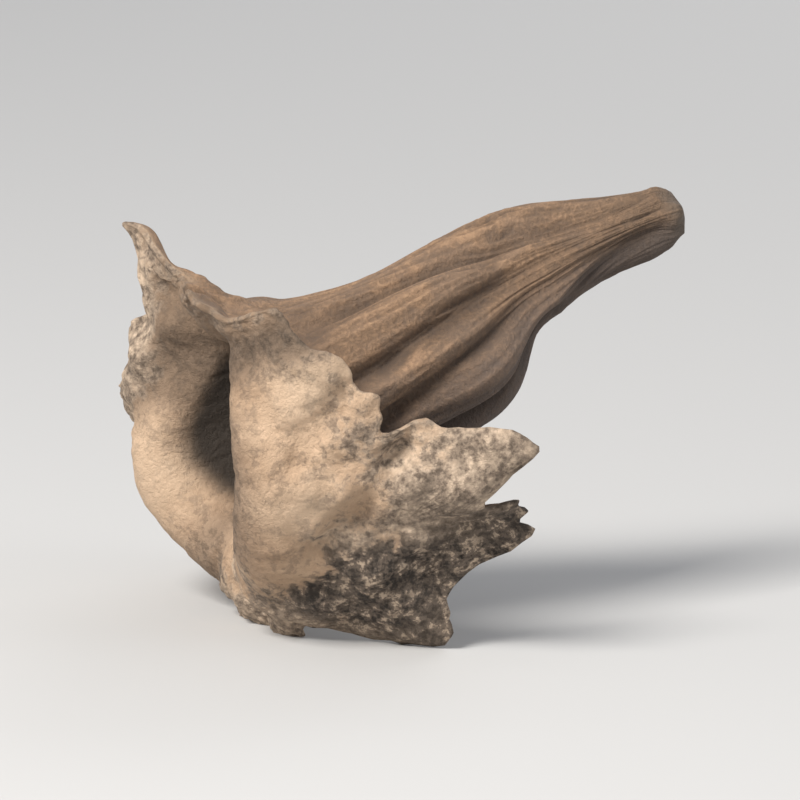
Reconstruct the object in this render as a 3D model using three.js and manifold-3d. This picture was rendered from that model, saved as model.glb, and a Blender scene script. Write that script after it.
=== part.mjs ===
// A dried black trumpet mushroom (Craterellus cornucopioides), lying as it was dropped.
//
// The whole body is one thin, funnel-shaped sheet of flesh. A pinched, solid foot opens into
// a hollow, ribbed stem, the stem opens into a bell, and the rim of the bell is rolled
// outwards and back over its own outside in long ragged lobes. The stem points up to the
// right (+X), the mouth opens to the left (-X), and the longest lobe is folded back on the
// near side (-Y). The lobes' lowest points carry the mushroom on the surface at z = 0.
//
// Units are millimetres, +Z is up, and the origin is under the middle of the mushroom.

import * as THREE from "three";
import { mergeVertices } from "three/addons/utils/BufferGeometryUtils.js";
import Module from "manifold-3d";

const { degToRad, clamp, smoothstep } = THREE.MathUtils;

// The centre line runs from the tip of the foot to a little beyond the mouth.
const CENTRE_LINE = new THREE.CubicBezierCurve3(
  new THREE.Vector3(15.5, 2.4, 22.1),
  new THREE.Vector3(5.1, -0.4, 19.7),
  new THREE.Vector3(-5.8, -2.7, 9.5),
  new THREE.Vector3(-15.9, -5.65, 8.1),
);
const CENTRE_LENGTH = 37.5;

// The stem, from the foot to the neck where the bell begins to open.
const STEM_LENGTH = 9.5;
const FOOT_RADIUS = 1.6;
const NECK_RADIUS = 2.8;
const STEM_TAPER = 2.1; // above 1, the stem stays slender until close to the neck
const FOOT_ROUND = 1.6; // length of the rounded tip of the foot
const FOOT_FLAT = 0.35; // share of the radius that is left at the very tip

// The flesh is thick in the stem and thin at the rim.
const STEM_WALL = 1.2;
const BELL_WALL = 1.1;
const RIM_WALL = 0.75;

// Half of the length of sheet that the roll of the rim takes up.
const HALF_ROLL = 2.3;

// The bell, every 24 degrees round the centre line: 0 is the top, 90 the near side, 180 the
// bottom and 270 the far side. Angles say how far the sheet leans out from the centre line,
// in degrees: flare just past the neck, cone along the bell, fold in the rolled-back lobe.
// Lengths are in mm: reach from the neck to the middle of the roll, lobe from there to the
// rim. ruffle is the share of the rim's waves that this side has.
const BELL = [
  { flare: 17, cone: 14, reach: 16.5, fold: 42, lobe: 3.6, ruffle: 0.3 },
  { flare: 18, cone: 11, reach: 17.3, fold: 75, lobe: 4, ruffle: 0.3 },
  { flare: 22, cone: 8, reach: 18.6, fold: 138, lobe: 4.5, ruffle: 0.15 },
  { flare: 28, cone: 5, reach: 20.4, fold: 154, lobe: 9.5, ruffle: 0.1 },
  { flare: 34, cone: 3, reach: 21.9, fold: 163, lobe: 12.8, ruffle: 0.15 },
  { flare: 38, cone: 0, reach: 22.6, fold: 158, lobe: 16, ruffle: 0.2 },
  { flare: 42, cone: -2, reach: 22.7, fold: 136, lobe: 11, ruffle: 0.25 },
  { flare: 42, cone: -2, reach: 22.4, fold: 108, lobe: 6, ruffle: 0.4 },
  { flare: 40, cone: 0, reach: 22.4, fold: 98, lobe: 5, ruffle: 0.4 },
  { flare: 36, cone: 2, reach: 23, fold: 122, lobe: 14, ruffle: 0.3 },
  { flare: 30, cone: 5, reach: 24, fold: 138, lobe: 14, ruffle: 0.4 },
  { flare: 24, cone: 8, reach: 24.2, fold: 130, lobe: 8, ruffle: 0.5 },
  { flare: 17, cone: 12, reach: 22, fold: 90, lobe: 4, ruffle: 0.4 },
  { flare: 15, cone: 16, reach: 18.6, fold: 62, lobe: 4.6, ruffle: 0.3 },
  { flare: 16, cone: 18, reach: 15.8, fold: 50, lobe: 4.2, ruffle: 0.2 },
];
const START_LEAN = 2;
const FLARE_LENGTH = 3.5;
const CONE_START = 9;

// Sums of sines round the centre line: size, waves in one turn, phase gained per mm, phase.
const RIM_WAVES = [[26, 5, 0, 1.4], [22, 8, 0, 2.2], [18, 13, 0, 4.1], [9, 19, 0, 0.3]]; // degrees
const RIM_OUTLINE = [[0.4, 3, 0, 0.3], [0.4, 7, 0, 1.9], [0.45, 11, 0, 4.4], [0.45, 17, 0, 0.7]];
const STEM_LUMPS = [[0.4, 2, 0.16, 1.5], [0.22, 3, -0.33, 5.8], [0.14, 5, 0.3, 6.1]];
// The swollen shoulder on top of the neck: place in degrees, length and height in mm, and
// how far it spreads, in degrees round and in mm along.
const SHOULDER = { at: 8, length: 11, height: 0.8, spread: 58, run: 5.5 };
const LOBE_CRUMPLE = [
  [0.22, 6, 0.45, 3.6], [0.18, 9, -0.6, 5.3], [0.15, 13, 0.9, 4.7], [0.1, 17, -1.3, 5.3],
];
const CRUMPLE_TWIST = 1.3;

// Tears in the rim: where they are, how far they cut in, and half their width in degrees.
// A negative depth is a point that stands out.
const TEARS = [
  { at: 61, depth: 0.4, spread: 4 },
  { at: 77, depth: 1, spread: 8 },
  { at: 83.5, depth: 1.1, spread: 3 },
  { at: 89.5, depth: 3.6, spread: 4 },
  { at: 106, depth: -1.6, spread: 5 },
  { at: 117, depth: 1.9, spread: 4 },
  { at: 132, depth: -1.6, spread: 4 },
  { at: 140, depth: 0.6, spread: 3 },
  { at: 159, depth: 2.4, spread: 4 },
  { at: 203, depth: 3, spread: 6 },
  { at: 228, depth: 2.4, spread: 4 },
  { at: 243, depth: 1.5, spread: 3.5 },
  { at: 262, depth: 1.2, spread: 4 },
  { at: 286, depth: 1.6, spread: 5 },
  { at: 306, depth: 1, spread: 4 },
  { at: 322, depth: -3.4, spread: 5 },
  { at: 345, depth: 0.8, spread: 8 },
];

// Tips of the rim that curl further back than the rest of their side: where they are, how
// far they fold on, and half their width, all in degrees.
const CURLS = [{ at: 321, fold: 26, spread: 9 }];

// Shrinkage creases between the ribs of the stem and bell: place in degrees at the foot,
// depth and half width in mm, and twist in degrees per mm of length. They fade out at end.
const CREASES = [
  { at: 19, depth: 0.9, half: 0.7, twist: 0.5, end: 23.5 },
  { at: 56, depth: 1.0, half: 0.75, twist: 0.9, end: 26.5 },
  { at: 88, depth: 0.9, half: 0.7, twist: 0.6, end: 25.5 },
  { at: 123, depth: 1.1, half: 0.75, twist: 0.7, end: 26.5 },
  { at: 158, depth: 0.9, half: 0.7, twist: 0.3, end: 26.5 },
  { at: 201, depth: 0.9, half: 0.7, twist: 0.4, end: 25.5 },
  { at: 242, depth: 0.8, half: 0.7, twist: 0.3, end: 25.5 },
  { at: 281, depth: 1.1, half: 0.75, twist: -0.2, end: 25.5 },
  { at: 323, depth: 0.8, half: 0.7, twist: 0.2, end: 25.5 },
];
const FOOT_CREASE = 0.35; // share of their depth that the creases have at the foot
const CREASES_DEEPEN_TO = 17.5; // where they reach their full depth
const INNER_CREASE = 0.6; // share of a crease's depth that shows inside the bell
const STEM_HOLLOW_SMOOTH_TO = 7.5; // the hollow of the stem is smooth up to here

// The mesh: points in one turn, and rings along the stem, bell, roll and lobes.
const COLUMNS = 96;
const STEM_RINGS = 6;
const BELL_RINGS = 10;
const ROLL_RINGS = 5;
const LOBE_RINGS = 5;
const STEPS_PER_RING = 6; // finer steps that a ring's place is added up from
const SOLID_RINGS = 4; // rings of the foot with no hollow in them

// The surface that the mushroom rests on trims its lowest points flat.
const GROUND = 0;

function waves(table, turn, length) {
  return table.reduce((sum, [size, count, drift, phase]) =>
    sum + size * Math.sin(count * turn + drift * length + phase), 0);
}

// Distance in degrees from one side of the mushroom to another, from -180 to 180.
function degreesBetween(from, to) {
  return THREE.MathUtils.euclideanModulo(to - from + 180, 360) - 180;
}

// A value of the BELL list at any angle: a closed Catmull-Rom curve through its entries.
function bellValue(name, turn) {
  const place = (turn / (2 * Math.PI)) * BELL.length;
  const first = Math.floor(place);
  const part = place - first;
  const [a, b, c, d] = [-1, 0, 1, 2].map(
    (step) => BELL[THREE.MathUtils.euclideanModulo(first + step, BELL.length)][name]);
  return b + 0.5 * part * (c - a + part * (2 * a - 5 * b + 4 * c - d + part * (3 * (b - c) + d - a)));
}

// How the sheet runs on one side of the mushroom, past the neck.
function bellSide(turn) {
  const side = { turn };
  for (const name of Object.keys(BELL[0])) side[name] = bellValue(name, turn);
  side.lobe += waves(RIM_OUTLINE, turn, 0);
  for (const { at, depth, spread } of TEARS) {
    side.lobe -= depth * Math.exp(-((degreesBetween(at, THREE.MathUtils.radToDeg(turn)) / spread) ** 2));
  }
  side.lobe = Math.max(side.lobe, HALF_ROLL + 0.6);
  for (const { at, fold, spread } of CURLS) {
    side.fold += fold * Math.exp(-((degreesBetween(at, THREE.MathUtils.radToDeg(turn)) / spread) ** 2));
  }
  side.wave = side.ruffle * waves(RIM_WAVES, turn, 0);
  return side;
}

// Length of sheet from the neck to a place given in rings.
function lengthAt(side, ring) {
  const bell = clamp(ring / BELL_RINGS, 0, 1) * (side.reach - HALF_ROLL);
  const roll = clamp((ring - BELL_RINGS) / ROLL_RINGS, 0, 1) * 2 * HALF_ROLL;
  const lobe = clamp((ring - BELL_RINGS - ROLL_RINGS) / LOBE_RINGS, 0, 1) * (side.lobe - HALF_ROLL);
  return bell + roll + lobe;
}

// 0 where the roll begins, 1 at the rim.
function lobeShare(side, length) {
  return clamp((length - side.reach + HALF_ROLL) / (side.lobe + HALF_ROLL), 0, 1);
}

// Lean of the sheet away from the centre line, in radians.
function lean(side, length) {
  const flared = START_LEAN + (side.flare - START_LEAN) * smoothstep(length, 0, FLARE_LENGTH);
  const coned = flared + (side.cone - side.flare) * smoothstep(length, FLARE_LENGTH, CONE_START);
  const rolled = smoothstep(length, side.reach - HALF_ROLL, side.reach + HALF_ROLL);
  const ruffled = side.wave * lobeShare(side, length) ** 1.5;
  return degToRad(coned + (side.fold - side.cone) * rolled + ruffled);
}

// The rings on one side: distance along and out from the centre line, and length of sheet.
function stemStations(turn) {
  const stations = [];
  for (let ring = 0; ring < STEM_RINGS; ring++) {
    const along = (ring / STEM_RINGS) * STEM_LENGTH;
    const taper = FOOT_RADIUS + (NECK_RADIUS - FOOT_RADIUS) * (along / STEM_LENGTH) ** STEM_TAPER;
    const dome = Math.sqrt(1 - (1 - clamp(along / FOOT_ROUND, 0, 1)) ** 2);
    const out = taper * (FOOT_FLAT + (1 - FOOT_FLAT) * dome);
    stations.push({ turn, along, out, length: along, lobe: 0 });
  }
  return stations;
}

function bellStations(turn) {
  const side = bellSide(turn);
  const stations = [{ turn, along: STEM_LENGTH, out: NECK_RADIUS, length: STEM_LENGTH, lobe: 0 }];
  let along = STEM_LENGTH;
  let out = NECK_RADIUS;
  let before = 0;
  const steps = (BELL_RINGS + ROLL_RINGS + LOBE_RINGS) * STEPS_PER_RING;
  for (let step = 1; step <= steps; step++) {
    const length = lengthAt(side, step / STEPS_PER_RING);
    const from = lean(side, before);
    const to = lean(side, length);
    along += ((Math.cos(from) + Math.cos(to)) / 2) * (length - before);
    out += ((Math.sin(from) + Math.sin(to)) / 2) * (length - before);
    before = length;
    if (step % STEPS_PER_RING === 0) {
      stations.push({ turn, along, out, length: STEM_LENGTH + length, lobe: lobeShare(side, length) });
    }
  }
  return stations;
}

// Depth of the creases at a station.
function creasing({ turn, out, length }) {
  let depth = 0;
  for (const crease of CREASES) {
    const centre = crease.at + crease.twist * length;
    const aside = degToRad(degreesBetween(centre, THREE.MathUtils.radToDeg(turn))) * clamp(out, 1, 7);
    const running = smoothstep(length, 0, 3) * (1 - smoothstep(length, crease.end - 4, crease.end + 3));
    depth += crease.depth * Math.exp(-((aside / crease.half) ** 2)) * running;
  }
  return depth * (FOOT_CREASE + (1 - FOOT_CREASE) * smoothstep(length, 0, CREASES_DEEPEN_TO));
}

// Height of the shoulder at a station.
function shoulder({ turn, length }) {
  const round = degreesBetween(SHOULDER.at, THREE.MathUtils.radToDeg(turn)) / SHOULDER.spread;
  const along = (length - SHOULDER.length) / SHOULDER.run;
  return SHOULDER.height * Math.exp(-(round ** 2) - along ** 2);
}

// How far the ribs and creases move a station out from the plain funnel.
function relief(station, creaseShare) {
  const lumps = waves(STEM_LUMPS, station.turn, station.length) * smoothstep(station.length, 0, 3);
  const raised = lumps + shoulder(station) - creaseShare * creasing(station);
  return raised * (1 - smoothstep(station.lobe, 0, 0.35));
}

// A point in space at a station's side of the centre line.
function pointAt({ turn, along, out }, moved) {
  const ahead = CENTRE_LINE.getTangent(along / CENTRE_LENGTH);
  const up = new THREE.Vector3(0, 0, 1).addScaledVector(ahead, -ahead.z).normalize();
  const near = new THREE.Vector3().crossVectors(up, ahead);
  return CENTRE_LINE.getPoint(along / CENTRE_LENGTH)
    .addScaledVector(up, (out + moved) * Math.cos(turn))
    .addScaledVector(near, (out + moved) * Math.sin(turn));
}

// Outward direction of the sheet at each point of a grid of rings and columns.
function sheetNormals(grid) {
  const last = grid.length - 1;
  return grid.map((ring, i) => ring.map((_, j) => {
    const around = grid[i][(j + 1) % COLUMNS].clone().sub(grid[i][(j + COLUMNS - 1) % COLUMNS]);
    const along = grid[Math.min(i + 1, last)][j].clone().sub(grid[Math.max(i - 1, 0)][j]);
    return along.cross(around).normalize();
  }));
}

// How far the crumpled lobes swing to either side of the plain sheet.
function crumple({ turn, length, lobe }) {
  const twisted = turn + 0.25 * Math.sin(2 * turn + 0.2 * length + CRUMPLE_TWIST);
  return waves(LOBE_CRUMPLE, twisted, length) * smoothstep(lobe, 0.1, 0.6);
}

function wallAt({ length, lobe }) {
  const unrolled = STEM_WALL + (BELL_WALL - STEM_WALL) * smoothstep(length, STEM_LENGTH, CREASES_DEEPEN_TO);
  return unrolled + (RIM_WALL - unrolled) * smoothstep(lobe, 0, 0.6);
}

// The outer side of the flesh: ribs, creases and crumpling on the plain funnel.
function outerSide(station, normal) {
  return pointAt(station, relief(station, 1)).addScaledVector(normal, crumple(station));
}

// The inner side, one wall further in, where the creases are shallower.
function innerSide(station, normal) {
  const share = INNER_CREASE * smoothstep(station.length, STEM_HOLLOW_SMOOTH_TO, CREASES_DEEPEN_TO);
  return pointAt(station, relief(station, share))
    .addScaledVector(normal, crumple(station) - wallAt(station));
}

function ringCentre(ring) {
  return ring.reduce((sum, point) => sum.add(point), new THREE.Vector3()).divideScalar(ring.length);
}

// A closed mesh from the outer and inner faces, joined at the rim and closed at the foot.
// Both faces are split into triangles alike.
function closeFlesh(outer, inner) {
  const positions = [];
  const triangles = [];
  const addPoint = (point) => positions.push(point.x, point.y, point.z) / 3 - 1;
  const addGrid = (grid) => grid.map((ring) => ring.map(addPoint));
  const addTriangle = (a, b, c, flipped) => triangles.push(...(flipped ? [a, c, b] : [a, b, c]));
  const band = (from, to, flipped) => {
    for (let j = 0; j < COLUMNS; j++) {
      const k = (j + 1) % COLUMNS;
      addTriangle(from[j], from[k], to[k], flipped);
      addTriangle(from[j], to[k], to[j], flipped);
    }
  };
  const cap = (ring, centre, flipped) => {
    for (let j = 0; j < COLUMNS; j++) addTriangle(centre, ring[(j + 1) % COLUMNS], ring[j], flipped);
  };
  const outside = addGrid(outer);
  const inside = addGrid(inner);
  cap(outside[0], addPoint(ringCentre(outer[0])), true);
  cap(inside[0], addPoint(ringCentre(inner[0])), false);
  for (let i = 1; i < outside.length; i++) band(outside[i - 1], outside[i], true);
  for (let i = 1; i < inside.length; i++) band(inside[i - 1], inside[i], false);
  band(outside.at(-1), inside.at(-1), true);
  const geometry = new THREE.BufferGeometry();
  geometry.setAttribute("position", new THREE.Float32BufferAttribute(positions, 3));
  geometry.setIndex(triangles);
  return geometry;
}

function buildFlesh() {
  const columns = Array.from({ length: COLUMNS }, (_, j) => {
    const turn = (j / COLUMNS) * 2 * Math.PI;
    return [...stemStations(turn), ...bellStations(turn)];
  });
  const stations = columns[0].map((_, i) => columns.map((column) => column[i]));
  const normals = sheetNormals(stations.map((ring) => ring.map((station) => pointAt(station, 0))));
  const side = (shape) =>
    stations.map((ring, i) => ring.map((station, j) => shape(station, normals[i][j])));
  return closeFlesh(side(outerSide), side(innerSide).slice(SOLID_RINGS));
}

const wasm = await Module();
wasm.setup();

function toSolid(geometry) {
  const bare = geometry.clone();
  bare.deleteAttribute("normal");
  bare.deleteAttribute("uv");
  const merged = mergeVertices(bare, 1e-4);
  return new wasm.Manifold(new wasm.Mesh({
    numProp: 3,
    vertProperties: new Float32Array(merged.attributes.position.array),
    triVerts: new Uint32Array(merged.index.array),
  }));
}

function fromSolid(solid) {
  const mesh = solid.getMesh();
  const geometry = new THREE.BufferGeometry();
  geometry.setAttribute("position", new THREE.BufferAttribute(mesh.vertProperties, 3));
  geometry.setIndex(new THREE.BufferAttribute(mesh.triVerts, 1));
  return geometry;
}

// Everything below the resting surface is cut off flat.
function restOnGround(geometry) {
  const depth = 10;
  const width = 100;
  const below = new THREE.BoxGeometry(width, width, depth).translate(0, 0, GROUND - depth / 2);
  return fromSolid(toSolid(geometry).subtract(toSolid(below)));
}

const flesh = new THREE.MeshStandardMaterial({ color: 0x6a5848, roughness: 0.85, metalness: 0 });
const mushroom = new THREE.Mesh(restOnGround(buildFlesh()), flesh);
mushroom.name = "dried_black_trumpet";

const group = new THREE.Group();
group.add(mushroom);

export default group;
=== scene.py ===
# %% [markdown]
# # A dried black trumpet mushroom
# A black trumpet is one thin sheet of flesh, shaped like the horn of a gramophone: a pinched
# foot, a hollow ribbed stem, a bell, and a rim that rolls outwards and back over its own
# outside. Drying shrinks the sheet, so the stem pleats into ribs and the rim crumples and
# tears. This lesson builds it as one closed mesh, skins its two sides, and lights it.

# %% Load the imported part
import math
import bpy
import numpy as np
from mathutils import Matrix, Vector, noise


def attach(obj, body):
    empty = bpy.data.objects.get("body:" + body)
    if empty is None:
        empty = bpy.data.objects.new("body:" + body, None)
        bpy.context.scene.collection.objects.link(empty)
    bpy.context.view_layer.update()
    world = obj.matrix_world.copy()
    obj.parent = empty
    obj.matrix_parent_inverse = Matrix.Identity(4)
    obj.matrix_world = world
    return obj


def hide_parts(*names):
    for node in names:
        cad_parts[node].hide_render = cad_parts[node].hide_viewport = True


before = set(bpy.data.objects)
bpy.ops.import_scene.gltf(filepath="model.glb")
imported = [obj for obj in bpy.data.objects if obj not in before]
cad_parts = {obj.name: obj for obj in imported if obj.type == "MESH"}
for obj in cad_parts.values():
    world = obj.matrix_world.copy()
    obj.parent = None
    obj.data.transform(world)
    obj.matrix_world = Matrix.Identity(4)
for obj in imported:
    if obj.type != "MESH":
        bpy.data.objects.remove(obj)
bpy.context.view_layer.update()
TRUMPET = "dried_black_trumpet"

# %% [markdown]
# ## The funnel's driving sizes
# The form is worked out in millimetres from the same few sizes as the CAD part: a centre
# line, a stem, and a list that says every 24 degrees how the bell flares, how far it
# reaches, how hard its rim folds back and how long the rolled lobe is. Only the mesh is
# finer here, so the two agree wherever they are compared.

# %% Stem, walls and roll, in millimetres
MM = 0.001
# The centre line is a Bezier curve from the foot to the mouth.
CENTRE_LINE = np.array([(15.5, 2.4, 22.1), (5.1, -0.4, 19.7), (-5.8, -2.7, 9.5), (-15.9, -5.65, 8.1)])
CENTRE_LENGTH = 37.5
STEM_LENGTH = 9.5
FOOT_RADIUS = 1.6
NECK_RADIUS = 2.8
STEM_TAPER = 2.1  # power of the taper: more keeps the foot slim for longer
FOOT_FLAT = 0.35  # share of the foot's radius that is a flat end
FOOT_ROUND = 1.6
STEM_WALL = 1.2
BELL_WALL = 1.1
RIM_WALL = 0.75
HALF_ROLL = 2.3  # half the length of sheet that turns over in the roll
SHORTEST_LOBE = HALF_ROLL + 0.6
START_LEAN = 2  # degrees between the sheet and the centre line at the neck
FLARE_LENGTH = 3.5
CONE_START = 9
print("stem:", STEM_LENGTH, "mm long and", 2 * NECK_RADIUS, "mm across at the neck")

# %% The bell, every 24 degrees
# From the top past the near side (-Y): flare, cone and fold are angles from the centre line,
# reach and lobe are lengths, ruffle and ragged are shares of the rim's waves and fine tears.
BELL = [
    dict(flare=17, cone=14, reach=16.5, fold=42, lobe=3.6, ruffle=0.3, ragged=0.5),
    dict(flare=18, cone=11, reach=17.3, fold=75, lobe=4, ruffle=0.3, ragged=0.4),
    dict(flare=22, cone=8, reach=18.6, fold=138, lobe=4.5, ruffle=0.15, ragged=0.2),
    dict(flare=28, cone=5, reach=20.4, fold=154, lobe=9.5, ruffle=0.1, ragged=0.25),
    dict(flare=34, cone=3, reach=21.9, fold=163, lobe=12.8, ruffle=0.15, ragged=0.8),
    dict(flare=38, cone=0, reach=22.6, fold=158, lobe=16, ruffle=0.2, ragged=1.1),
    dict(flare=42, cone=-2, reach=22.7, fold=136, lobe=11, ruffle=0.25, ragged=1.3),
    dict(flare=42, cone=-2, reach=22.4, fold=108, lobe=6, ruffle=0.4, ragged=0.5),
    dict(flare=40, cone=0, reach=22.4, fold=98, lobe=5, ruffle=0.4, ragged=0.8),
    dict(flare=36, cone=2, reach=23, fold=122, lobe=14, ruffle=0.3, ragged=0.9),
    dict(flare=30, cone=5, reach=24, fold=138, lobe=14, ruffle=0.4, ragged=1),
    dict(flare=24, cone=8, reach=24.2, fold=130, lobe=8, ruffle=0.5, ragged=0.8),
    dict(flare=17, cone=12, reach=22, fold=90, lobe=4, ruffle=0.4, ragged=0.6),
    dict(flare=15, cone=16, reach=18.6, fold=62, lobe=4.6, ruffle=0.3, ragged=0.6),
    dict(flare=16, cone=18, reach=15.8, fold=50, lobe=4.2, ruffle=0.2, ragged=0.5),
]
print("bell: told at", len(BELL), "directions")

# %% Waves, lumps, tears, curls and creases
# Sums of sines round the centre line: size, waves a turn, phase gained per mm, phase. The
# rim's waves are in degrees, the others in mm.
RIM_WAVES = [(26, 5, 0, 1.4), (22, 8, 0, 2.2), (18, 13, 0, 4.1), (9, 19, 0, 0.3)]
RIM_OUTLINE = [(0.4, 3, 0, 0.3), (0.4, 7, 0, 1.9), (0.45, 11, 0, 4.4), (0.45, 17, 0, 0.7)]
STEM_LUMPS = [(0.4, 2, 0.16, 1.5), (0.22, 3, -0.33, 5.8), (0.14, 5, 0.3, 6.1)]
LOBE_CRUMPLE = [(0.22, 6, 0.45, 3.6), (0.18, 9, -0.6, 5.3), (0.15, 13, 0.9, 4.7), (0.1, 17, -1.3, 5.3)]
CRUMPLE_TWIST = 1.3

# The stem's swollen shoulder: place in degrees, sheet length and height in mm, and its spread
# in degrees and mm.
SHOULDER = dict(at=8, length=11, height=0.8, spread=58, run=5.5)

# Tears in the rim: place in degrees, depth in mm, half width in degrees. Where the depth is
# below zero, a tip is left standing.
TEARS = [(61, 0.4, 4), (77, 1, 8), (83.5, 1.1, 3), (89.5, 3.6, 4), (106, -1.6, 5), (117, 1.9, 4),
         (132, -1.6, 4), (140, 0.6, 3), (159, 2.4, 4), (203, 3, 6), (228, 2.4, 4), (243, 1.5, 3.5),
         (262, 1.2, 4), (286, 1.6, 5), (306, 1, 4), (322, -3.4, 5), (345, 0.8, 8)]

# Hair-fine tears, which the CAD part leaves out: how many a turn, seed and share of the depth.
FINE_TEARS = [(46, 3.7, 1.0), (97, 9.1, 0.6)]
FINE_TEAR_DEPTH = 1.3

# Tips of the rim that curl further back than their side of the bell: place, extra fold and
# half width, all in degrees.
CURLS = [(321, 26, 9)]

# Creases between the ribs: place at the foot in degrees, depth and half width in mm, twist
# in degrees per mm, and the length at which the crease fades out.
CREASES = [(19, 0.9, 0.7, 0.5, 23.5), (56, 1.0, 0.75, 0.9, 26.5), (88, 0.9, 0.7, 0.6, 25.5),
           (123, 1.1, 0.75, 0.7, 26.5), (158, 0.9, 0.7, 0.3, 26.5), (201, 0.9, 0.7, 0.4, 25.5),
           (242, 0.8, 0.7, 0.3, 25.5), (281, 1.1, 0.75, -0.2, 25.5), (323, 0.8, 0.7, 0.2, 25.5)]
FOOT_CREASE = 0.35  # share of its depth that a crease has at the foot
CREASES_DEEPEN_TO = 17.5
INNER_CREASE = 0.6  # share of the outer crease that shows in the hollow
STEM_HOLLOW_SMOOTH_TO = 7.5
print("tears:", len(TEARS), "creases:", len(CREASES))

# %% [markdown]
# ## Working on every point at once
# Numpy holds the whole sheet as a table: a row for each ring from the foot to the rim, and a
# column for each direction round the centre line. One formula then shapes every point.

# %% The table's columns, and curves over it
COLUMNS = 352
STEM_ROWS, BELL_ROWS, ROLL_ROWS, LOBE_ROWS = 32, 60, 18, 46
turn = np.linspace(0, 2 * math.pi, COLUMNS, endpoint=False)[None, :]


def smoothstep(low, high, value):
    share = np.clip((value - low) / (high - low), 0, 1)
    return share * share * (3 - 2 * share)


def between(value, start, full, fade, end):
    """0 before start, 1 from full to fade, and 0 again past end."""
    return smoothstep(start, full, value) * (1 - smoothstep(fade, end, value))


def close_to(value, place, spread):
    """1 where the value is at the place, fading to 0 a few spreads away."""
    return np.exp(-(((value - place) / spread) ** 2))


def degrees_from(place):
    return (np.degrees(turn) - place + 180) % 360 - 180


def facing(place, spread):
    """1 in one direction round the centre line, fading to 0 a few spreads away."""
    return close_to(degrees_from(place), 0, spread)


def waves(table, angle, length):
    return sum(size * np.sin(count * angle + drift * length + phase) for size, count, drift, phase in table)


print("points in one side of the sheet:", COLUMNS * (STEM_ROWS + BELL_ROWS + ROLL_ROWS + LOBE_ROWS + 1))


# %% The bell in every column, and noise that closes on itself
def bell_value(name):
    """A value of the BELL list in every column: a closed Catmull-Rom curve through it."""
    values = np.array([side[name] for side in BELL], float)
    place = turn / (2 * math.pi) * len(BELL)
    first = np.floor(place).astype(int)
    part = place - first
    a, b, c, d = (values[(first + step) % len(BELL)] for step in (-1, 0, 1, 2))
    return b + 0.5 * part * (c - a + part * (2 * a - 5 * b + 4 * c - d + part * (3 * (b - c) + d - a)))


def round_noise(per_turn, length, scale, seed):
    """Smooth noise that meets itself after a full turn, drawn out along the length."""
    radius = per_turn / (2 * math.pi)
    angle, along = np.broadcast_arrays(turn, length)
    points = np.stack([np.cos(angle) * radius + seed, np.sin(angle) * radius, along * scale], axis=-1)
    flat = [noise.noise(Vector(point)) for point in points.reshape(-1, 3)]
    return np.array(flat).reshape(angle.shape)


side = {name: bell_value(name) for name in BELL[0]}
print("lobes, mm:", side["lobe"].min().round(1), "to", side["lobe"].max().round(1))

# %% [markdown]
# ## The meridians
# Each column is a meridian: it starts at the foot, leaves the neck at the flare angle, runs
# along the cone, then turns through the roll and ends in the lobe. Its course is added up
# from short steps, each at its own lean. Lobes that would reach below the surface are worn
# short, as a brittle rim is, so the mushroom stands on the ragged ends that are left.

# %% Outline of the rim
ragged = sum(share * np.abs(round_noise(per_turn, 0.0 * turn, 1, seed))
             for per_turn, seed, share in FINE_TEARS)
side["lobe"] = side["lobe"] + waves(RIM_OUTLINE, turn, 0) - FINE_TEAR_DEPTH * ragged * side["ragged"]
for place, depth, spread in TEARS:
    side["lobe"] = side["lobe"] - depth * facing(place, spread)
side["lobe"] = np.maximum(side["lobe"], SHORTEST_LOBE)
for place, extra, spread in CURLS:
    side["fold"] = side["fold"] + extra * facing(place, spread)
rim_wave = side["ruffle"] * waves(RIM_WAVES, turn, 0)
full_lobe = side["lobe"].copy()
print("torn lobes, mm:", full_lobe.min().round(1), "to", full_lobe.max().round(1))


# %% Course of each meridian
def lengths_of_rows():
    rows = np.arange(BELL_ROWS + ROLL_ROWS + LOBE_ROWS + 1)[:, None]
    bell = np.clip(rows / BELL_ROWS, 0, 1) * (side["reach"] - HALF_ROLL)
    roll = np.clip((rows - BELL_ROWS) / ROLL_ROWS, 0, 1) * 2 * HALF_ROLL
    lobe = np.clip((rows - BELL_ROWS - ROLL_ROWS) / LOBE_ROWS, 0, 1) * (side["lobe"] - HALF_ROLL)
    return bell + roll + lobe


def lobe_share(length):
    """How far out on its lobe a point lies, as a share of the lobe's length before it wears."""
    return np.clip((length - side["reach"] + HALF_ROLL) / (full_lobe + HALF_ROLL), 0, 1)


def lean(length):
    """Angle between the sheet and the centre line, in radians."""
    flared = START_LEAN + (side["flare"] - START_LEAN) * smoothstep(0, FLARE_LENGTH, length)
    coned = flared + (side["cone"] - side["flare"]) * smoothstep(FLARE_LENGTH, CONE_START, length)
    rolled = smoothstep(side["reach"] - HALF_ROLL, side["reach"] + HALF_ROLL, length)
    return np.radians(coned + (side["fold"] - side["cone"]) * rolled + rim_wave * lobe_share(length) ** 1.5)


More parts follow.
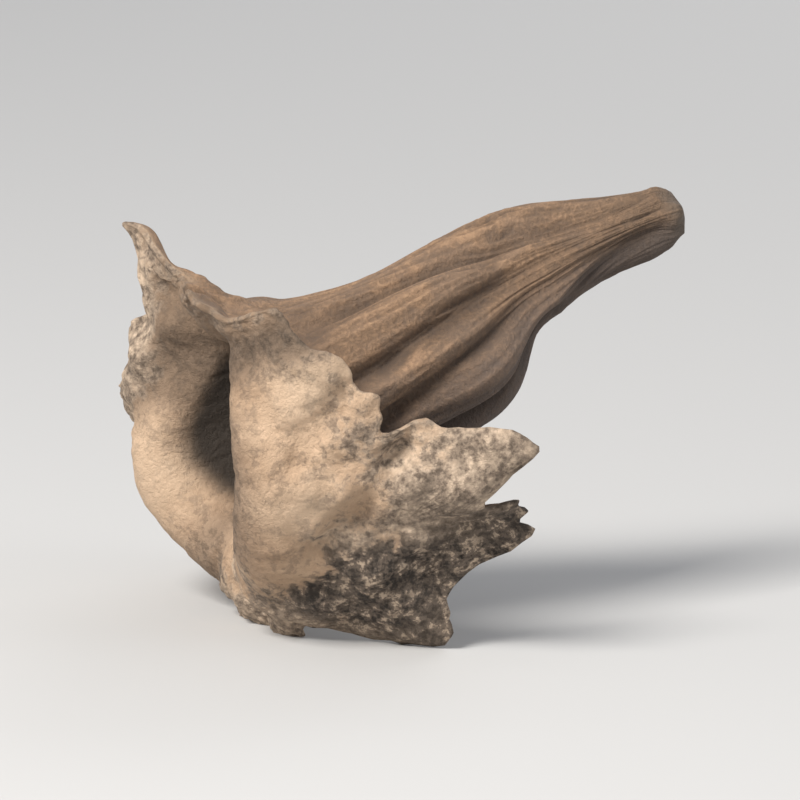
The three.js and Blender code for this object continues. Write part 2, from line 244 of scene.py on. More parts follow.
def course():
    """Distance along and out from the centre line, sheet length and share of the lobe."""
    length = lengths_of_rows()
    angle = lean(length)
    step = np.diff(length, axis=0)
    start = np.zeros((1, COLUMNS))
    ahead = np.concatenate([start, np.cumsum((np.cos(angle[1:]) + np.cos(angle[:-1])) / 2 * step, axis=0)])
    aside = np.concatenate([start, np.cumsum((np.sin(angle[1:]) + np.sin(angle[:-1])) / 2 * step, axis=0)])
    stem = np.linspace(0, STEM_LENGTH, STEM_ROWS, endpoint=False)[:, None] + start
    taper = FOOT_RADIUS + (NECK_RADIUS - FOOT_RADIUS) * (stem / STEM_LENGTH) ** STEM_TAPER
    dome = np.sqrt(1 - (1 - np.clip(stem / FOOT_ROUND, 0, 1)) ** 2)
    taper = taper * (FOOT_FLAT + (1 - FOOT_FLAT) * dome)
    pairs = ((stem, STEM_LENGTH + ahead), (taper, NECK_RADIUS + aside),
             (stem, STEM_LENGTH + length), (0 * stem, lobe_share(length)))
    return tuple(np.concatenate(pair) for pair in pairs)


along, out, length, lobe = course()
print("sheet from foot to rim, mm:", length[-1].min().round(1), "to", length[-1].max().round(1))

# %% [markdown]
# ## Ribs, creases and crumpling
# The stem's ribs are what is left standing between its shrinkage creases, so the creases are
# pressed in and the ribs come by themselves. The lobes crumple to both sides instead. Finer
# wrinkles, too small for the CAD part, run with the creases and fork where noise bends them.
# A Displace modifier could bring such relief too, but it moves both sides of a thin sheet
# apart. Worked out here, a crinkle can bend the whole sheet and a wrinkle only one side.

# %% Creases, lumps and the crumple shared with the CAD part
def crease_depth():
    depth = np.zeros_like(length)
    for place, deep, half, twist, end in CREASES:
        aside = np.radians(degrees_from(place + twist * length)) * np.clip(out, 1, 7)
        depth += deep * close_to(aside, 0, half) * between(length, 0, 3, end - 4, end + 3)
    return depth * (FOOT_CREASE + (1 - FOOT_CREASE) * smoothstep(0, CREASES_DEEPEN_TO, length))


creases = crease_depth()
shoulder = facing(SHOULDER["at"], SHOULDER["spread"]) * close_to(length, SHOULDER["length"], SHOULDER["run"])
lumps = waves(STEM_LUMPS, turn, length) * smoothstep(0, 3, length) + SHOULDER["height"] * shoulder
unrolled = 1 - smoothstep(0, 0.35, lobe)
twisted = turn + 0.25 * np.sin(2 * turn + 0.2 * length + CRUMPLE_TWIST)
crumple = waves(LOBE_CRUMPLE, twisted, length) * smoothstep(0.1, 0.6, lobe)
print("crease depth, mm:", creases.max().round(2), "lumps:", lumps.max().round(2))

# %% Long wrinkles that fork
WRINKLE_STEEPNESS = 2.2
bend = 1.6 * round_noise(9, length, 0.11, 5.5)


def long_wrinkles(per_turn, stretch, bending, seed):
    """Sharp ridges along the sheet, 1 on top, that fork where the bending moves them."""
    return 1 - WRINKLE_STEEPNESS * np.abs(round_noise(per_turn, length + bending * bend, stretch, seed))


wrinkles = 0.6 * long_wrinkles(34, 0.16, 6, 21.0) + 0.4 * long_wrinkles(88, 0.3, 9, 33.0)
print("wrinkles:", wrinkles.min().round(2), "to", wrinkles.max().round(2))

# %% [markdown]
# ## The two sides of the sheet
# Both sides hang on the same plain funnel. The outer side carries the full creases; the
# inner side lies one wall further in, with shallower ones. Near the rim the two close up to
# a torn edge. The lobes are crinkled as one sheet, and their pale inner skin is grainy.

# %% The plain funnel and its outward directions
def point_at(shift):
    share = (along / CENTRE_LENGTH)[..., None]
    a, b, c, d = CENTRE_LINE
    place = (1 - share) ** 3 * a + 3 * (1 - share) ** 2 * share * b
    place = place + 3 * (1 - share) * share**2 * c + share**3 * d
    ahead = (1 - share) ** 2 * (b - a) + 2 * (1 - share) * share * (c - b) + share**2 * (d - c)
    ahead = ahead / np.linalg.norm(ahead, axis=-1, keepdims=True)
    up = np.array((0, 0, 1)) - ahead * ahead[..., 2:]
    up = up / np.linalg.norm(up, axis=-1, keepdims=True)
    near = np.cross(up, ahead)
    reach = (out + shift)[..., None]
    return place + reach * (np.cos(turn)[..., None] * up + np.sin(turn)[..., None] * near)


def outward(points):
    around = np.roll(points, -1, axis=1) - np.roll(points, 1, axis=1)
    forward = np.gradient(points, axis=0)
    normal = np.cross(forward, around)
    return normal / np.linalg.norm(normal, axis=-1, keepdims=True)


plain = point_at(0 * out)
print("plain funnel, mm:", np.ptp(plain.reshape(-1, 3), axis=0).round(1))


# %% Crinkles and grains
def space_noise(points, size, seed):
    """Smooth noise in space, with features about size mm across."""
    shifted = (points / size + seed).reshape(-1, 3)
    flat = [noise.noise(Vector(point)) for point in shifted]
    return np.array(flat).reshape(points.shape[:-1])


def grains(points, size, seed):
    """Rounded grains about size mm across, 1 on top and 0 in the gaps."""
    shifted = (points / size + seed).reshape(-1, 3)
    gaps = [noise.voronoi(Vector(point))[0] for point in shifted]
    return np.clip([(gap[1] - gap[0]) * 1.6 for gap in gaps], 0, 1).reshape(points.shape[:-1])


CRINKLES = [(0.34, 2.6, 4.0), (0.2, 1.2, 11.0)]  # height and size in mm, seed
GRAIN_SIZE, FOOT_TEAR_SIZE, FOOT_TEAR_DEPTH = 0.75, 0.9, 0.45
crinkle = sum(height * space_noise(plain, size, seed) for height, size, seed in CRINKLES)
foot_noise = space_noise(plain, FOOT_TEAR_SIZE, 19.0)
grain_tops = grains(plain, GRAIN_SIZE, 2.0)
torn_foot = FOOT_TEAR_DEPTH * foot_noise * (1 - smoothstep(0.4, 2.6, length))
print("crinkle, mm:", crinkle.min().round(2), "to", crinkle.max().round(2))

# %% Points of the outer and inner side
WRINKLE_OUTSIDE, WRINKLE_INSIDE = 0.2, 0.07  # heights in mm
GRAIN_HEIGHT = 0.13
TORN_THINNING, TORN_RUN = 0.24, 1.6  # mm lost from each side at the torn edge, and over how many mm
WEAR_STEP = 1.1  # mm of lobe worn off for each mm that it reaches too low


def sheet_sides():
    normal = outward(point_at(0 * out))
    hollow_share = INNER_CREASE * smoothstep(STEM_HOLLOW_SMOOTH_TO, CREASES_DEEPEN_TO, length)
    wall = STEM_WALL + (BELL_WALL - STEM_WALL) * smoothstep(STEM_LENGTH, CREASES_DEEPEN_TO, length)
    wall = wall + (RIM_WALL - wall) * smoothstep(0, 0.6, lobe)
    torn = TORN_THINNING * smoothstep(TORN_RUN, 0, length[-1] - length)
    wrinkled = smoothstep(0, 3, length) * (0.5 + 0.5 * smoothstep(2, 15, length))
    granular = smoothstep(0.15, 0.6, lobe)
    outer_relief = WRINKLE_OUTSIDE * wrinkles * wrinkled - torn
    inner_relief = WRINKLE_INSIDE * wrinkles[:, ::-1] + GRAIN_HEIGHT * (grain_tops - 0.5) * granular - torn
    shared = crumple + crinkle * smoothstep(0.02, 0.4, lobe)
    outer = point_at((lumps + torn_foot - creases) * unrolled) + normal * (shared + outer_relief)[..., None]
    inner = point_at((lumps - hollow_share * creases) * unrolled)
    inner = inner + normal * (shared - wall - inner_relief)[..., None]
    return outer, inner


def wear_to_surface(rounds=6):
    """Shortens each lobe until neither of its sides reaches below the surface."""
    global along, out, length, lobe
    for _ in range(rounds):
        outer, inner = sheet_sides()
        low = np.minimum(outer[..., 2], inner[..., 2])[STEM_ROWS + BELL_ROWS + ROLL_ROWS:]
        too_low = np.maximum(-low.min(axis=0), 0)[None, :]
        side["lobe"] = np.maximum(side["lobe"] - WEAR_STEP * too_low, SHORTEST_LOBE)
        along, out, length, lobe = course()


wear_to_surface()
outer, inner = sheet_sides()
print("lowest point, mm:", min(outer[..., 2].min(), inner[..., 2].min()).round(3))

# %% [markdown]
# ## One closed skin from one grid
# A thin sheet could be a surface with a Solidify modifier, but then both sides would have
# the same ribs. Here one grid is drawn over the sheet like a sock: from the foot up the
# outer side, over the torn rim and back down into the hollow. First its rows are set out.

# %% Rows of the whole skin, foot to rim to hollow
SOLID_ROWS = 21  # rows from the foot that have no hollow, because the stem is too slim there
LOWEST = 0.004  # mm above the surface, where tips that still reach too low are cut flat
LIP_ANGLES, LIP_ROUNDNESS = (45, 90, 135), 0.9  # rows over the torn edge, and how far it bulges
FOOT_DOME, HOLLOW_DOME = 0.05, 0.3  # mm that the middles of the foot and the hollow stand out
rim_gap = inner[-1] - outer[-1]
rim_out = outer[-1] - outer[-2]
rim_out = rim_out / np.linalg.norm(rim_out, axis=-1, keepdims=True)
half_gap = np.linalg.norm(rim_gap, axis=-1, keepdims=True) / 2
lip = []
for angle in (math.radians(degrees) for degrees in LIP_ANGLES):
    bulge = rim_out * half_gap * math.sin(angle) * LIP_ROUNDNESS
    lip.append(outer[-1] + rim_gap * (1 - math.cos(angle)) / 2 + bulge)
# Inside the stem and the bell every second row is enough; the roll and the lobes keep all.
stem_back = list(range(STEM_ROWS - 2, SOLID_ROWS - 1, -2))
bell_back = list(range(STEM_ROWS + BELL_ROWS - 2, STEM_ROWS - 1, -2))
lobes_back = list(range(outer.shape[0] - 1, STEM_ROWS + BELL_ROWS - 1, -1))
inner_rows = lobes_back + bell_back + stem_back


def pole(ring, away):
    """A row whose points all lie in the middle of a ring, moved away by a little."""
    return np.repeat((ring.mean(axis=0) + away)[None, :], COLUMNS, axis=0)


foot_way = outer[0].mean(axis=0) - outer[1].mean(axis=0)
foot_way = foot_way / np.linalg.norm(foot_way)
skin = [pole(outer[0], foot_way * FOOT_DOME)] + list(outer) + lip + [inner[row] for row in inner_rows]
skin.append(pole(inner[inner_rows[-1]], foot_way * HOLLOW_DOME))
skin = np.array(skin)
skin[..., 2] = np.maximum(skin[..., 2], LOWEST)
OUTER_COUNT = 1 + len(outer)
print("rows of the skin:", len(skin), "triangles:", 2 * COLUMNS * (len(skin) - 1))

# %% [markdown]
# ## Marks for the colours
# The colours of a dried trumpet follow its form: the creases are painted dark as shade, some
# folds get painted highlights, scales and stains gather towards the rim with painted shade on
# its lower sides, and the mouth and the folds that lie in shade are painted brown as shade.
# Such masks could be painted by hand. Here they are worked out from the same table as the
# points and kept on the mesh as attributes, so they stay in place on the form.

# %% Ways to measure the sheet, and to spread a value over the skin
to_rim = length[-1] - length
to_roll = STEM_LENGTH + side["reach"] - HALF_ROLL - length


def along_skin(outer_value, inner_value=None):
    """A value on the sheet's two sides, set out in the rows of the skin."""
    inner_value = outer_value if inner_value is None else inner_value
    full = np.broadcast_to(outer_value, outer.shape[:2])
    back = np.broadcast_to(inner_value, outer.shape[:2])
    rows = [full[0]] + list(full) + [full[-1]] * len(LIP_ANGLES)
    return np.array(rows + [back[row] for row in inner_rows] + [back[inner_rows[-1]]])


neck_to_roll = to_roll[STEM_ROWS].round(1)
print("from the neck to the roll, mm:", neck_to_roll.min(), "to", neck_to_roll.max())

# %% Scales and stains of the inner skin
# A region is a direction and its spread in degrees: 0 is the top, 90 the near side, 180 below
# and 270 the far side.
NEAR_SCALES, TOP_SCALES = (142, 32), (68, 14)
NEAR_STAIN_AND_SHADE, FAR_STAIN_AND_SHADE = (136, 20), (222, 18)
# Scales start over half way out on a lobe, sooner low on the near side and later near the top.
scaly_side = 0.3 + 0.7 * between(np.degrees(turn), 76, 118, 300, 340)
scales_start = 0.62 - 0.42 * facing(*NEAR_SCALES) + 0.12 * facing(*TOP_SCALES)
uneven_lobe = lobe + 0.35 * space_noise(plain, 3, 14.0)
scurf = np.clip(scaly_side * smoothstep(scales_start - 0.22, scales_start + 0.34, uneven_lobe), 0, 1)
# Stains darken two lower sides of the rim, partly as painted shade, and patches of it all round.
patchy = space_noise(plain, 3.2, 8.0)
stain_and_shade = (facing(*NEAR_STAIN_AND_SHADE) + 0.8 * facing(*FAR_STAIN_AND_SHADE)) * smoothstep(0.06, 0.52, lobe + 0.2 * patchy)
stain_and_shade = np.clip(stain_and_shade + 0.45 * patchy * smoothstep(0.2, 0.6, lobe), 0, 1)
print("scaly share of the sheet:", scurf.mean().round(2), "stained share:", stain_and_shade.mean().round(2))

# %% Tanned top, painted shade on the folds and painted highlights of the inner skin
FAR_FOLD, UNDERSIDE = (303, 13), (212, 16)
# Painted highlights: direction and its spread in degrees, distance to the roll and its spread in mm, share.
HIGHLIGHT_PATCHES = [(254, 20, -1.5, 3.5, 1.0), (69, 10, -8, 3.2, 1.3), (102, 9, -6, 2.2, 1.0)]
# The tan ends in a wavy border, which slants across the near lobe beside a fold painted brown as shade.
wavy_side = degrees_from(0) + 6 * patchy
slanted_side = wavy_side - 16 * (lobe - 0.5)
tan = (1 - smoothstep(48, 60, slanted_side)) * smoothstep(-88, -74, wavy_side)
tan = np.clip(tan * (0.95 + 0.4 * patchy), 0, 1)
# Painted shade: a fold on the near side, a band on the far side and the lower lip are painted brown where
# they lie in shade.
near_fold_shade = close_to(slanted_side, 46, 10) * smoothstep(0.05, 0.3, lobe)
far_fold_shade = 0.75 * facing(*FAR_FOLD) * smoothstep(-4.5, -3.0, to_roll)
lower_lip_shade = 0.8 * facing(*UNDERSIDE) * smoothstep(1.5, -1.5, to_roll) * (1 - smoothstep(0.55, 0.9, lobe))
shaded = np.clip(near_fold_shade + far_fold_shade + lower_lip_shade, 0, 1)
# Painted highlights: pale patches on three places of the lobes.
pale = sum(share * facing(at, spread) * close_to(to_roll, place, run)
           for at, spread, place, run, share in HIGHLIGHT_PATCHES)
print("tanned share of the sheet:", tan.mean().round(2), "browned:", shaded.mean().round(2))

# %% Painted shade in the mouth and on the outside's underside, and the outside's collar
FAR_SIDE, COLLAR = (292, 42), (36, 34)
BELOW_TURN = math.radians(12)
far_side = facing(*FAR_SIDE)
near_side = between(degrees_from(0), 44, 70, 130, 152)


def mouth_edge(at_top, further_far, further_near):
    """Distance to the roll, in mm, which is further out on the far and near sides."""
    return at_top - further_far * far_side - further_near * near_side


# Painted shade: the inner skin is painted brown from the roll into the mouth, further out on the far and
# near sides.
mouth_shade = smoothstep(mouth_edge(-0.6, 1.5, 3.8), mouth_edge(2.2, 1.4, 4.0), to_roll)
collar = close_to(to_roll, 1.2, 3.2) * facing(*COLLAR)
# Painted shade: the outside's underside is painted darker, less so next to the roll.
below = np.clip(0.5 - 0.5 * np.cos(turn - BELOW_TURN), 0, 1) * (1 - 0.45 * smoothstep(2.0, -3.0, to_roll))
print("dusky share of the sheet:", mouth_shade.mean().round(2))

# %% All the marks, in the rows of the skin
DEEPEST_CREASE, RIM_WEAR = 1.1, 0.6  # mm
marks = {
    # Painted shade: the creases' depth sets where they are painted dark.
    "crease": along_skin(np.clip(creases, 0, DEEPEST_CREASE) / DEEPEST_CREASE * unrolled),
    "wrinkle": along_skin(np.clip(0.5 + 0.5 * wrinkles, 0, 1), np.clip(0.5 + 0.5 * wrinkles[:, ::-1], 0, 1)),
    "grains": along_skin(grain_tops),
    "tan": along_skin(tan),
    "shaded": along_skin(shaded),
    "foot": along_skin(1 - smoothstep(0.2, 1.6, length + 0.8 * foot_noise)),
    "deep": along_skin(smoothstep(-1.4, 1.8, to_roll)),
    "mouth_shade": along_skin(mouth_shade),
    "collar": along_skin(collar),
    "pale": along_skin(np.clip(pale, 0, 1.3)),
    # Painted shade on the slim end of the stem.
    "slender": along_skin(1 - smoothstep(2, STEM_LENGTH, length)),
    "stain_and_shade": along_skin(stain_and_shade),
    "scurf": along_skin(scurf),
    "below": along_skin(below),
    "rim": along_skin(np.exp(-to_rim / RIM_WEAR)),
}
print("marks on the skin:", ", ".join(sorted(marks)))

# %% [markdown]
# ## From the grid to the mesh
# A grid primitive brings the faces and a tidy UV map, u round the stem and v along the sheet.
# Its points could be extruded ring by ring instead, but moving a ready grid to the rows
# worked out above is quicker. Merging doubles then closes the seam and the two poles.

# %% Draw the grid over the sheet
def deselect_all():
    for item in bpy.context.selected_objects:
        item.select_set(False)


deselect_all()
bpy.ops.mesh.primitive_grid_add(x_subdivisions=COLUMNS, y_subdivisions=len(skin) - 1, size=1)
trumpet = bpy.context.object
trumpet.name = trumpet.data.name = "trumpet_flesh"
mesh = trumpet.data
flat = np.zeros(len(mesh.vertices) * 3)
mesh.vertices.foreach_get("co", flat)
flat = flat.reshape(-1, 3)
column = np.rint((flat[:, 0] + 0.5) * COLUMNS).astype(int) % COLUMNS
row = np.rint((flat[:, 1] + 0.5) * (len(skin) - 1)).astype(int)
mesh.vertices.foreach_set("co", (skin[row, column] * MM).ravel())
for name, values in marks.items():
    layer = mesh.attributes.new(name, "FLOAT", "POINT")
    layer.data.foreach_set("value", values[row, column].astype(np.float32))
print("grid points:", len(flat))

# %% Close the seam and the poles, and turn the faces outwards
MERGE_DISTANCE = 0.000002
bpy.ops.object.mode_set(mode="EDIT")
bpy.ops.mesh.select_all(action="SELECT")
bpy.ops.mesh.remove_doubles(threshold=MERGE_DISTANCE)
bpy.ops.mesh.normals_make_consistent(inside=False)
bpy.ops.object.mode_set(mode="OBJECT")
bpy.ops.object.shade_smooth()
print("closed skin:", len(mesh.vertices), "points,", len(mesh.polygons), "faces")

# %% [markdown]
# ## Finishes
# Dried flesh is matt and never one colour. Three effects make it: a fine felt grain, flecks
# where the scaly inner skin has browned, and creases painted dark as shade. The felt covers
# both sides of the sheet and the flecks come in two sizes, so each is a node group that is
# built once and takes its own values wherever it is used. They read Object coordinates, which
# are metres here, so a scale of 2000 means features of half a millimetre.

# %% Helpers that place and wire nodes
def feed(tree, socket, value):
    """Links another socket into this one, or sets it to a plain number or colour."""
    if isinstance(value, bpy.types.NodeSocket):
        tree.links.new(value, socket)
    else:
        socket.default_value = (*value, 1) if socket.type == "RGBA" else value


def wire(tree, kind, **inputs):
    node = tree.nodes.new(kind)
    for name, value in inputs.items():
        feed(tree, node.inputs[name.replace("_", " ")], value)
    return node


def mark(tree, name):
    """One of the marks that are kept on the mesh."""
    node = tree.nodes.new("ShaderNodeAttribute")
    node.attribute_name = name
    return node.outputs["Fac"]


def ramp(tree, value, low, high, to_low=0.0, to_high=1.0):
    """Eases from one number to another while the value goes from low to high."""
    node = wire(tree, "ShaderNodeMapRange", Value=value, From_Min=low, From_Max=high,
                To_Min=to_low, To_Max=to_high)
    node.interpolation_type = "SMOOTHSTEP"
    return node.outputs["Result"]


def calculate(tree, operation, first, second):
    node = tree.nodes.new("ShaderNodeMath")
    node.operation = operation
    feed(tree, node.inputs[0], first)
    feed(tree, node.inputs[1], second)
    return node.outputs[0]


def times(tree, first, second):
    return calculate(tree, "MULTIPLY", first, second)


def plus(tree, first, second):
    return calculate(tree, "ADD", first, second)


def minus(tree, first, second):
    return calculate(tree, "SUBTRACT", first, second)


print("number helpers ready")


# %% Helpers that mix and layer colours
def blend(tree, share, first, second):
    """A colour between two colours; each may be a socket or a plain colour."""
    node = tree.nodes.new("ShaderNodeMix")
    node.data_type = "RGBA"
    for socket, value in ((node.inputs[0], share), (node.inputs[6], first), (node.inputs[7], second)):
        feed(tree, socket, value)
    return node.outputs[2]


def layered(tree, colour, layers):
    """Lays tones over a colour one after another, each by its own share."""
    for share, tone in layers:
        colour = blend(tree, share, colour, tone)
    return colour


print("colour helpers ready")


# %% The felt grain and the scaly flecks, as groups
def new_group(name, inputs, outputs):
    group = bpy.data.node_groups.new(name, "ShaderNodeTree")
    for label, value in inputs:
        socket = group.interface.new_socket(label, in_out="INPUT", socket_type="NodeSocketFloat")
        socket.default_value = value
    for label in outputs:
        group.interface.new_socket(label, in_out="OUTPUT", socket_type="NodeSocketFloat")
    return group, group.nodes.new("NodeGroupInput").outputs, group.nodes.new("NodeGroupOutput").inputs


CLOUD_SCALE = 0.08  # the clouds' scale as a share of the grain's, so they are about twelve times as wide
felt, given, result = new_group("felt_grain", [("Scale", 3000.0)], ["Grain", "Cloud"])
spot = felt.nodes.new("ShaderNodeTexCoord").outputs["Object"]
fine = wire(felt, "ShaderNodeTexNoise", Vector=spot, Scale=given["Scale"], Detail=5.0, Roughness=0.7)
cloud_scale = times(felt, given["Scale"], CLOUD_SCALE)
wide = wire(felt, "ShaderNodeTexNoise", Vector=spot, Scale=cloud_scale, Detail=4.0, Roughness=0.6)
felt.links.new(ramp(felt, fine.outputs["Fac"], 0.28, 0.72), result["Grain"])
felt.links.new(ramp(felt, wide.outputs["Fac"], 0.35, 0.65), result["Cloud"])

FLECK_EDGE = 0.11  # half the range of noise over which a fleck's edge fades
mottled, given, result = new_group("scaly_mottle", [("Scale", 1500.0), ("Level", 0.5)], ["Mottle", "Scales"])
spot = mottled.nodes.new("ShaderNodeTexCoord").outputs["Object"]
patches = wire(mottled, "ShaderNodeTexNoise", Vector=spot, Scale=given["Scale"], Detail=4.0, Roughness=0.62)
above = minus(mottled, patches.outputs["Fac"], given["Level"])
mottled.links.new(ramp(mottled, above, -FLECK_EDGE, FLECK_EDGE), result["Mottle"])
cells = wire(mottled, "ShaderNodeTexVoronoi", Vector=spot, Scale=given["Scale"])
mottled.links.new(ramp(mottled, cells.outputs["Distance"], 0.7, 0.1), result["Scales"])
print("groups:", [group.name for group in bpy.data.node_groups])


# %% Helpers that start a material, use a group and finish a skin
def new_material(name):
    material = bpy.data.materials.new(name)
    material.use_nodes = True
    tree = material.node_tree
    return material, tree, tree.nodes["Principled BSDF"]


def use_group(tree, group, **inputs):
    node = tree.nodes.new("ShaderNodeGroup")
    node.node_tree = group
    for name, value in inputs.items():
        feed(tree, node.inputs[name], value)
    return node.outputs


def finish_skin(tree, shader, colour, felted, roughness, relief, strength, depth):
    """Feeds in the colour, a roughness that follows the felt, and the fine relief."""
    tree.links.new(colour, shader.inputs["Base Color"])
    tree.links.new(ramp(tree, felted["Grain"], 0.0, 1.0, *roughness), shader.inputs["Roughness"])
    bump = wire(tree, "ShaderNodeBump", Height=relief, Strength=strength, Distance=depth)
    tree.links.new(bump.outputs["Normal"], shader.inputs["Normal"])


print("skin helpers ready")

# %% [markdown]
# ## The ribbed outer skin
# The outside is warm brown on the crests of the ribs, darker on their flanks, and painted
# almost black in the creases as shade. Its underside is painted slate-grey and darker as
# shade, the slim end of the stem is painted darker as shade, and a dark collar lies near the
# top, where the bell meets the roll. A noise texture could spread these tones at random, but
# the marks kept on the mesh say where crests and creases are, so the colours follow the
# form. The tones are laid one over another, as a painter glazes.

# %% Outer skin
OUTER_TONES = dict(
    flank=(0.082, 0.053, 0.036), rib=(0.228, 0.143, 0.086), crest=(0.430, 0.270, 0.162),
    # Painted shade: the underside's tone on the next line, and the creases' and slim end's tones on the line
    # after.
    cloud=(0.125, 0.094, 0.075), underside_shade=(0.098, 0.083, 0.078), collar=(0.082, 0.058, 0.044),
    crease=(0.052, 0.037, 0.029), slender=(0.085, 0.062, 0.047), foot=(0.150, 0.122, 0.096),
    rim=(0.330, 0.240, 0.165),
)
outer_skin, tree, shader = new_material("ribbed_outer_skin")
felted = use_group(tree, felt, Scale=3600.0)
crest = plus(tree, times(tree, mark(tree, "wrinkle"), 0.75), times(tree, felted["Grain"], 0.3))
colour = blend(tree, ramp(tree, crest, 0.25, 0.7), OUTER_TONES["flank"], OUTER_TONES["rib"])
colour = layered(tree, colour, [
    (ramp(tree, crest, 0.6, 0.98, to_high=0.85), OUTER_TONES["crest"]),
    (ramp(tree, felted["Cloud"], 0.3, 1.0, to_high=0.4), OUTER_TONES["cloud"]),
    # Painted shade: the underside is painted slate-grey and darker.
    (ramp(tree, mark(tree, "below"), 0.22, 0.8, to_high=0.8), OUTER_TONES["underside_shade"]),
    (times(tree, mark(tree, "collar"), 0.62), OUTER_TONES["collar"]),
    # Painted shade: the creases are painted near black.
    (ramp(tree, mark(tree, "crease"), 0.25, 0.9, to_high=0.66), OUTER_TONES["crease"]),
    # Painted shade: the slim end of the stem is painted darker.
    (times(tree, mark(tree, "slender"), 0.5), OUTER_TONES["slender"]),
    (times(tree, mark(tree, "foot"), 0.6), OUTER_TONES["foot"]),
    (ramp(tree, mark(tree, "rim"), 0.25, 1.0, to_high=0.6), OUTER_TONES["rim"]),
])
shader.inputs["Specular IOR Level"].default_value = 0.35
fibre = plus(tree, felted["Grain"], times(tree, mark(tree, "wrinkle"), 0.6))
finish_skin(tree, shader, colour, felted, (0.68, 0.92), fibre, strength=0.7, depth=0.00012)
print("made", outer_skin.name, "with", len(OUTER_TONES), "tones")

# %% [markdown]
# ## The pale inner skin
# Inside the mouth the flesh is near black, and painted brown shade lies at the mouth's edge.
# Over the roll it turns cream and smooth, with painted highlights on the folds, a tanned top,
# and painted brown shade where a fold lies in shade. Towards the rim it gets grainy and
# speckled, where small scales have browned and greyed; on its lower sides the dark scales
# are partly painted shade. Two separate materials would leave a hard line between cream and
# scales, so one blends them by a mark.

# %% Cream, tan and painted highlights of the inner skin
INNER_TONES = dict(
    cream_shade=(0.430, 0.285, 0.180), cream=(0.620, 0.434, 0.290), tan_shade=(0.135, 0.090, 0.058),
    tan=(0.225, 0.154, 0.102), felt=(0.250, 0.180, 0.125), fleck=(0.200, 0.142, 0.100),
    # The first tone on the next line is a painted highlight.
    painted_highlight=(0.750, 0.566, 0.402), scale_gap=(0.170, 0.127, 0.094), pale_scale=(0.680, 0.524, 0.385),
    black_scale=(0.034, 0.028, 0.023), brown_scale=(0.150, 0.116, 0.090), flake=(0.470, 0.364, 0.268),
    # The last two tones on the next line are the tones of painted shade.
    grain_gap=(0.070, 0.054, 0.042), brown_shade=(0.060, 0.043, 0.031), brown=(0.152, 0.109, 0.078),
    hollow=(0.040, 0.031, 0.024),
)
inner_skin, tree, shader = new_material("pale_inner_skin")
felted = use_group(tree, felt, Scale=3200.0)
coarse = use_group(tree, mottled, Scale=1350.0, Level=0.5)
small = use_group(tree, mottled, Scale=3800.0, Level=0.5)
mottle = plus(tree, times(tree, coarse["Mottle"], 0.66), times(tree, small["Mottle"], 0.34))
cream = blend(tree, felted["Cloud"], INNER_TONES["cream_shade"], INNER_TONES["cream"])
tanned = blend(tree, mottle, INNER_TONES["tan_shade"], INNER_TONES["tan"])
cream = layered(tree, cream, [
    (times(tree, mark(tree, "tan"), 0.92), tanned),
    (times(tree, felted["Grain"], 0.22), INNER_TONES["felt"]),
    (ramp(tree, mottle, 0.5, 0.1, to_high=0.42), INNER_TONES["fleck"]),
    # Painted highlights on the folds.
    (times(tree, mark(tree, "pale"), 0.5), INNER_TONES["painted_highlight"]),
])
print("smooth part of", inner_skin.name, "laid")

# %% Scales, painted shade on the folds and in the mouth, and the dark hollow of the inner skin
rimward = mark(tree, "scurf")
pale_scales = blend(tree, mottle, INNER_TONES["scale_gap"], INNER_TONES["pale_scale"])
dark_scales = blend(tree, ramp(tree, mottle, 0.05, 0.55),
                    INNER_TONES["black_scale"], INNER_TONES["brown_scale"])
dark_scales = blend(tree, ramp(tree, mottle, 0.62, 0.95), dark_scales, INNER_TONES["flake"])
# Dark scales where stained, and painted shade on the lower sides of the rim.
darkened = plus(tree, mark(tree, "stain_and_shade"), times(tree, mottle, 0.3))
scales = blend(tree, ramp(tree, darkened, 0.2, 0.95), pale_scales, dark_scales)
scaly_edge = minus(tree, plus(tree, rimward, 0.22), times(tree, coarse["Mottle"], 0.44))
gaps = times(tree, ramp(tree, mark(tree, "grains"), 0.5, 0.0), rimward)
# The tone of painted shade, for the shaded folds and the mouth.
painted_shade = blend(tree, mottle, INNER_TONES["brown_shade"], INNER_TONES["brown"])
inside = plus(tree, mark(tree, "deep"), times(tree, felted["Cloud"], 0.1))
colour = layered(tree, cream, [
    (ramp(tree, scaly_edge, 0.1, 0.75), scales),
    (times(tree, gaps, 0.45), INNER_TONES["grain_gap"]),
    # Painted shade on the folds that lie in shade.
    (times(tree, mark(tree, "shaded"), 0.75), painted_shade),
    # Painted shade in the mouth.
    (times(tree, mark(tree, "mouth_shade"), 0.75), painted_shade),
    (ramp(tree, inside, 0.2, 0.95), INNER_TONES["hollow"]),
])
shader.inputs["Specular IOR Level"].default_value = 0.3
raised = plus(tree, times(tree, coarse["Scales"], rimward), times(tree, felted["Grain"], 0.7))
finish_skin(tree, shader, colour, felted, (0.72, 0.95), raised, strength=0.75, depth=0.00016)
print("made", inner_skin.name, "with", len(INNER_TONES), "tones")

# %% [markdown]
# ## Putting the skins on
# The brown outside and the pale inside meet at the torn rim. Faces could be picked by hand,
# but the UV map already says how far along the sheet a face lies, so a single test of v
# gives each its skin. The mesh then takes the place of the plain CAD trumpet.

# %% Which side of the skin a face is on
mesh.materials.append(outer_skin)
mesh.materials.append(inner_skin)
uv = mesh.uv_layers.active.data
for face in mesh.polygons:
    v = sum(uv[loop].uv[1] for loop in face.loop_indices) / face.loop_total
    face.material_index = 0 if v * (len(skin) - 1) < OUTER_COUNT + 0.5 else 1
print("faces of the inner skin:", sum(face.material_index for face in mesh.polygons))

# %% Tie the skin to the CAD part
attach(trumpet, "root")
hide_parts(TRUMPET)
print("the skin stands for", TRUMPET)

# %% [markdown]
# ## Floor, light and camera
# The studio is a pale matt floor, one large soft light high on the left and in front, weaker
# ones on the right and behind, and an even pale sky. A single lamp would show the ribs more
# sharply, but it would lose the underside and the hollow in black. The camera looks 11
# degrees down with a long lens, so the far lobe is hardly smaller than the near one.

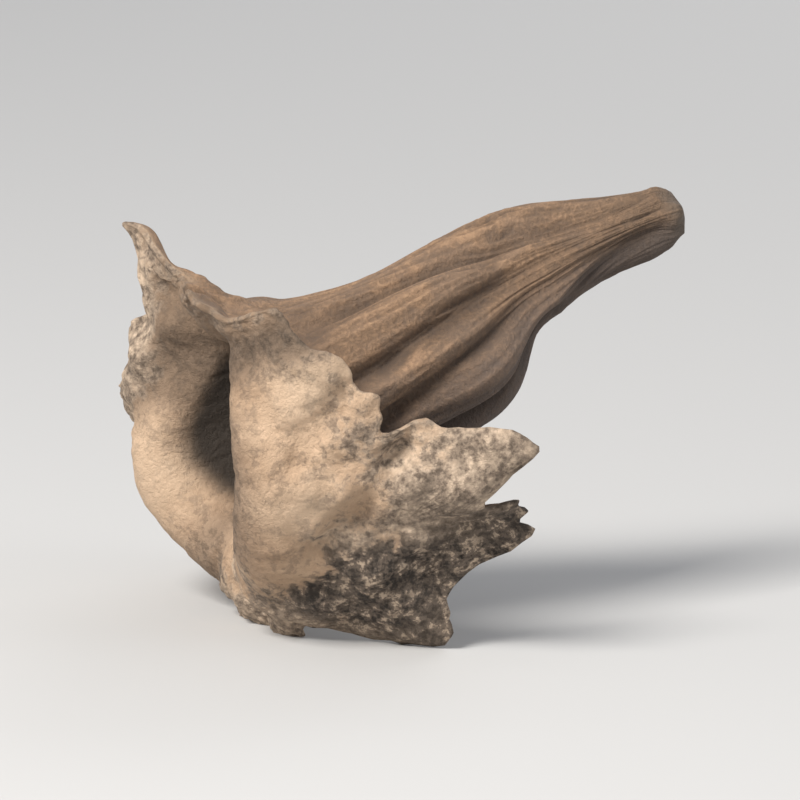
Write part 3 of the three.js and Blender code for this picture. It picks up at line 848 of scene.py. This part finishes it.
# %% Floor
deselect_all()
bpy.ops.mesh.primitive_plane_add(size=6, location=(0, 0, 0))
floor = bpy.context.object
floor.name = "floor"
floor_finish, tree, shader = new_material("pale_floor")
shader.inputs["Base Color"].default_value = (0.53, 0.526, 0.518, 1)
shader.inputs["Roughness"].default_value = 0.9
floor.data.materials.append(floor_finish)
print("floor:", tuple(floor.dimensions))

# %% Sky and lights
world = bpy.context.scene.world or bpy.data.worlds.new("studio")
bpy.context.scene.world = world
world.use_nodes = True
sky = world.node_tree.nodes["Background"]
sky.inputs["Color"].default_value = (0.90, 0.93, 1.0, 1)
sky.inputs["Strength"].default_value = 0.38

# Place in metres, size in metres, power in watts and colour of each light, which all aim
# at the middle of the mushroom.
LIGHTS = dict(
    key=((-0.20, -0.22, 0.30), 0.16, 2.5, (1.0, 0.97, 0.93)),
    fill=((0.35, -0.15, 0.14), 0.25, 0.35, (1, 1, 1)),
    back=((0.16, 0.34, 0.20), 0.30, 0.5, (1, 1, 1)),
)
MIDDLE = Vector((0, 0, 0.01))


def soft_light(name, place, size, power, colour):
    light = bpy.data.lights.new(name, "AREA")
    light.size = size
    light.energy = power
    light.color = colour
    lamp = bpy.data.objects.new(name, light)
    bpy.context.scene.collection.objects.link(lamp)
    lamp.location = place
    lamp.rotation_euler = (MIDDLE - Vector(place)).to_track_quat("-Z", "Y").to_euler()


for name, settings in LIGHTS.items():
    soft_light(name, *settings)
print("lights:", *LIGHTS)

# %% Camera
ELEVATION = math.radians(11)
TARGET = Vector((0, -0.00065, 0.0121))
DISTANCE = 0.42
LENS, SENSOR = 343.6, 36  # millimetres
camera_data = bpy.data.cameras.new("camera")
camera_data.lens = LENS
camera_data.sensor_width = SENSOR
camera = bpy.data.objects.new("camera", camera_data)
bpy.context.scene.collection.objects.link(camera)
camera.location = TARGET + DISTANCE * Vector((0, -math.cos(ELEVATION), math.sin(ELEVATION)))
camera.rotation_euler = (TARGET - camera.location).to_track_quat("-Z", "Y").to_euler()
bpy.context.scene.camera = camera
bpy.context.scene.view_settings.view_transform = "Standard"
print("camera at", tuple(round(value, 3) for value in camera.location))
